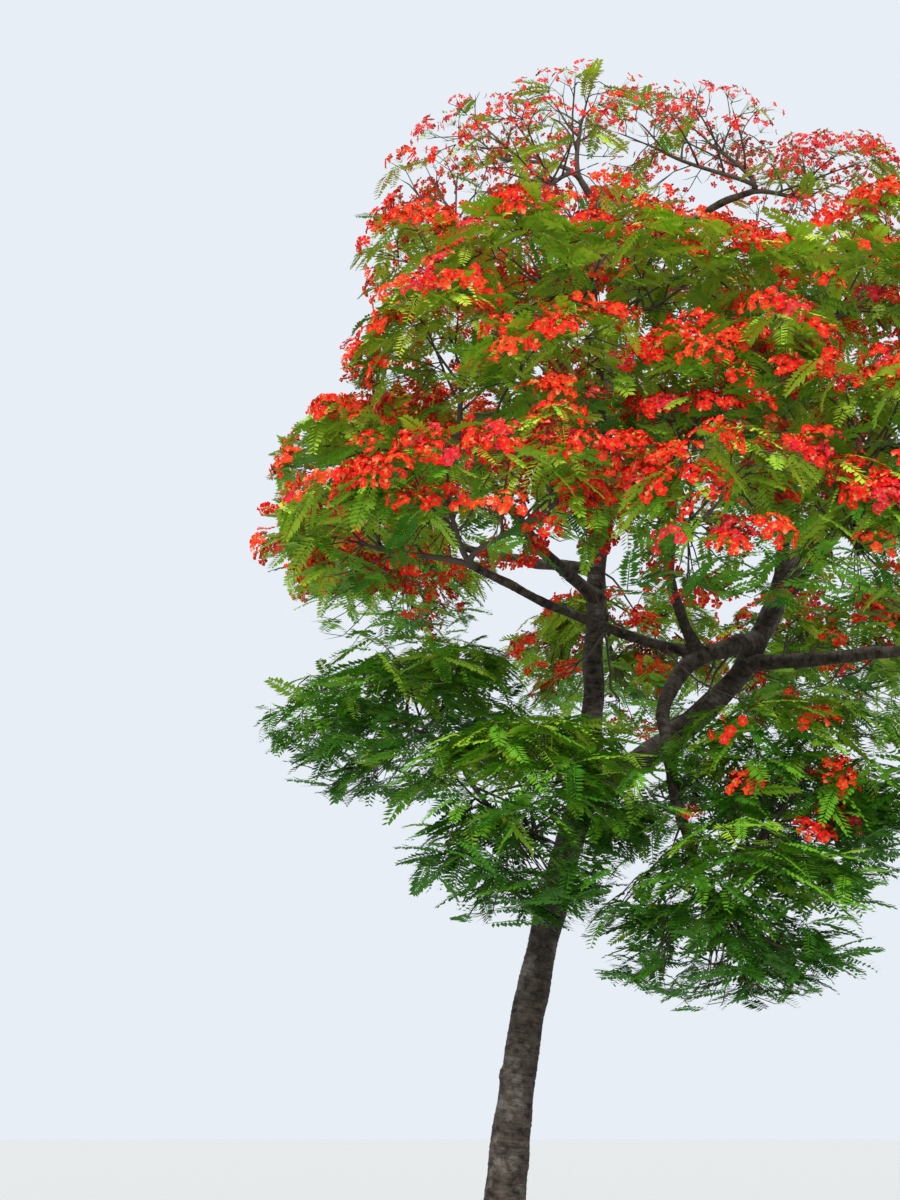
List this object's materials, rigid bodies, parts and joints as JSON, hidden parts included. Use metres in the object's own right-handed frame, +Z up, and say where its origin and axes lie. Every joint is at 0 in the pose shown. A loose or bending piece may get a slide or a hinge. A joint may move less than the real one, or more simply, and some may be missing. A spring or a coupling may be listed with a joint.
{
  "type": "flame tree in flower",
  "caption": "Whole flame tree in flower: leaning flared trunk, two leaders, spreading boughs and separate masses of leaf sprays, many tipped with scarlet blossom, rooted at ground level.",
  "frame": {"origin": "centre of the flat cut under the trunk, at ground level", "axes": "+Z straight up from level ground, +X the way the trunk leans, -Y toward the side the picture was taken from"},
  "size_m": [8.8407, 8.3336, 12.5583],
  "materials": {
    "bark": "dark grey-brown bark",
    "foliage": "green feathery leaves",
    "blossom": "scarlet blossom over leaves"
  },
  "bodies": {
    "root": {"back_bough": "bark", "back_left_bough": "bark", "back_left_lower_mass": "foliage", "back_left_upper_mass": "blossom", "back_lower_mass": "foliage", "back_right_bough": "bark", "back_right_lower_mass": "foliage", "back_right_upper_mass": "blossom", "back_top_left_mass": "foliage", "back_top_right_mass": "blossom", "back_upper_mass": "blossom", "cross_bough": "bark", "drooping_bough": "bark", "far_right_front_mass": "foliage", "far_right_mass": "foliage", "far_top_right_mass": "blossom", "front_band_mass": "blossom", "front_centre_bough": "bark", "front_left_bough": "bark", "front_left_mass": "blossom", "front_low_bough": "bark", "front_low_centre_mass": "blossom", "front_low_left_mass": "blossom", "front_low_middle_mass": "blossom", "front_middle_mass": "blossom", "front_top_mass": "foliage", "front_upper_bough": "bark", "front_upper_left_mass": "foliage", "front_upper_right_mass": "foliage", "highest_mass": "foliage", "left_leader": "bark", "left_shoulder_mass": "blossom", "left_side_mass": "foliage", "left_upper_bough": "bark", "left_upper_mass": "blossom", "long_right_bough": "bark", "low_front_mass": "foliage", "low_left_bough": "bark", "low_left_mass": "foliage", "low_left_tip_mass": "blossom", "low_right_mass": "foliage", "low_skirt_mass": "foliage", "right_front_bough": "bark", "right_front_lower_mass": "blossom", "right_front_mass": "blossom", "right_leader": "bark", "right_shoulder_mass": "blossom", "right_side_bough": "bark", "right_top_mass": "blossom", "right_upper_bough": "bark", "right_upper_front_mass": "foliage", "right_upper_side_mass": "foliage", "top_back_bough": "bark", "top_centre_mass": "foliage", "top_left_bough": "bark", "top_left_front_mass": "foliage", "top_left_mass": "blossom", "top_right_bough": "bark", "top_right_mass": "blossom", "trunk": "bark"}
  },
  "joints": []
}
